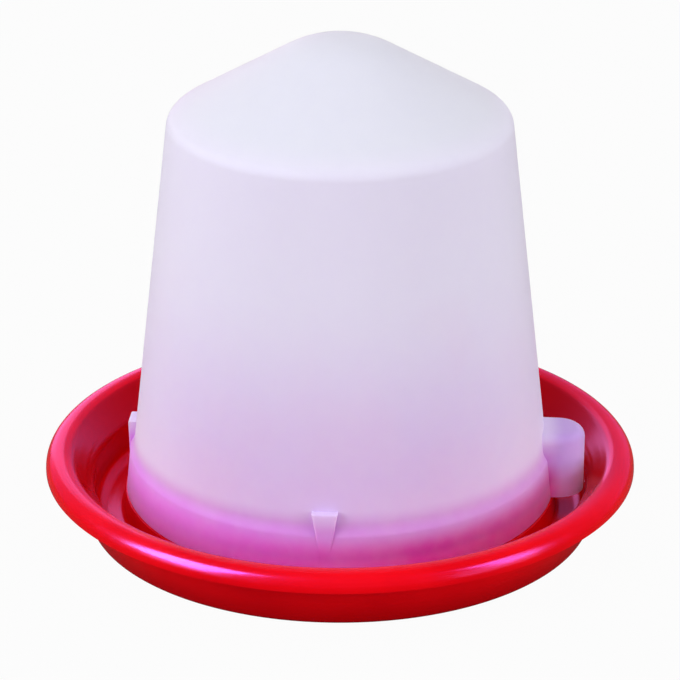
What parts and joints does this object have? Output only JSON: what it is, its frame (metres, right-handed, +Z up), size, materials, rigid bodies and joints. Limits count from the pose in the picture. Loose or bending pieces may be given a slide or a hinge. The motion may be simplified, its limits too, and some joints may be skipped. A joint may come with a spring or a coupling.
{
  "type": "poultry drinker",
  "caption": "Siphon drinker for poultry: an upturned translucent jar with a conical top and a water spout, standing on a round tray with a drinking trough and a rolled rim.",
  "frame": {"origin": "on the drinker's axis, on the floor under the tray's foot ring", "axes": "+Z up along the jar's axis; +X from the axis towards the jar's water spout"},
  "size_m": [0.29, 0.29, 0.245],
  "materials": {
    "jar_plastic": "translucent natural polythene, soft satin surface",
    "tray_plastic": "glossy red moulded plastic"
  },
  "bodies": {
    "root": {"jar": "jar_plastic", "tray": "tray_plastic"}
  },
  "joints": []
}
